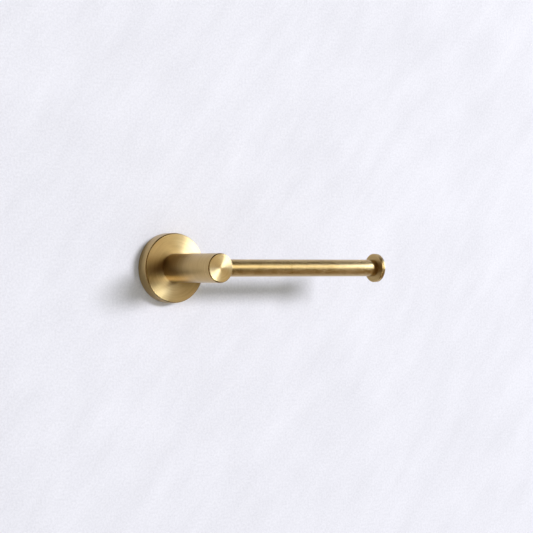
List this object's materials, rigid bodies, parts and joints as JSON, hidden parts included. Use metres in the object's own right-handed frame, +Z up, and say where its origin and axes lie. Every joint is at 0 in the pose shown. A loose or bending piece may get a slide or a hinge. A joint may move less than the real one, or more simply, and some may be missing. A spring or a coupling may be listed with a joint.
{
  "type": "toilet paper holder",
  "caption": "Wall-mounted toilet paper holder in brushed brass: round rose, round post and a level round bar with a thin disc as its end stop.",
  "frame": {"origin": "centre of the rose on the wall face", "axes": "+X along the bar towards its end stop, +Y into the wall, +Z up"},
  "size_m": [0.172, 0.0975, 0.05],
  "materials": {
    "brushed_brass": "brushed, warm champagne gold",
    "zinc_plated_steel": "zinc plated",
    "screw_steel": "plain machined",
    "nylon": "moulded, matt grey"
  },
  "bodies": {
    "wall_fixing": {"wall_plate": "zinc_plated_steel", "wall_screw_left": "screw_steel", "wall_screw_right": "screw_steel", "wall_plug_left": "nylon", "wall_plug_right": "nylon"},
    "holder": {"rose": "brushed_brass", "post": "brushed_brass", "post_bolt": "screw_steel", "lock_washer": "zinc_plated_steel", "locating_pin": "screw_steel", "roll_bar": "brushed_brass", "bar_stud": "screw_steel", "end_stop": "brushed_brass"},
    "set_screw": {"set_screw": "screw_steel"}
  },
  "joints": [
    {"name": "holder_lift_off", "type": "slide", "parent": "wall_fixing", "child": "holder", "axis": [0, -1, 0], "range_m": [0, 0.025]},
    {"name": "set_screw_turn", "type": "hinge", "parent": "holder", "child": "set_screw", "pos_m": [0, -0.003, -0.02255], "axis": [0, 0, -1], "range_deg": [0, 720]}
  ]
}
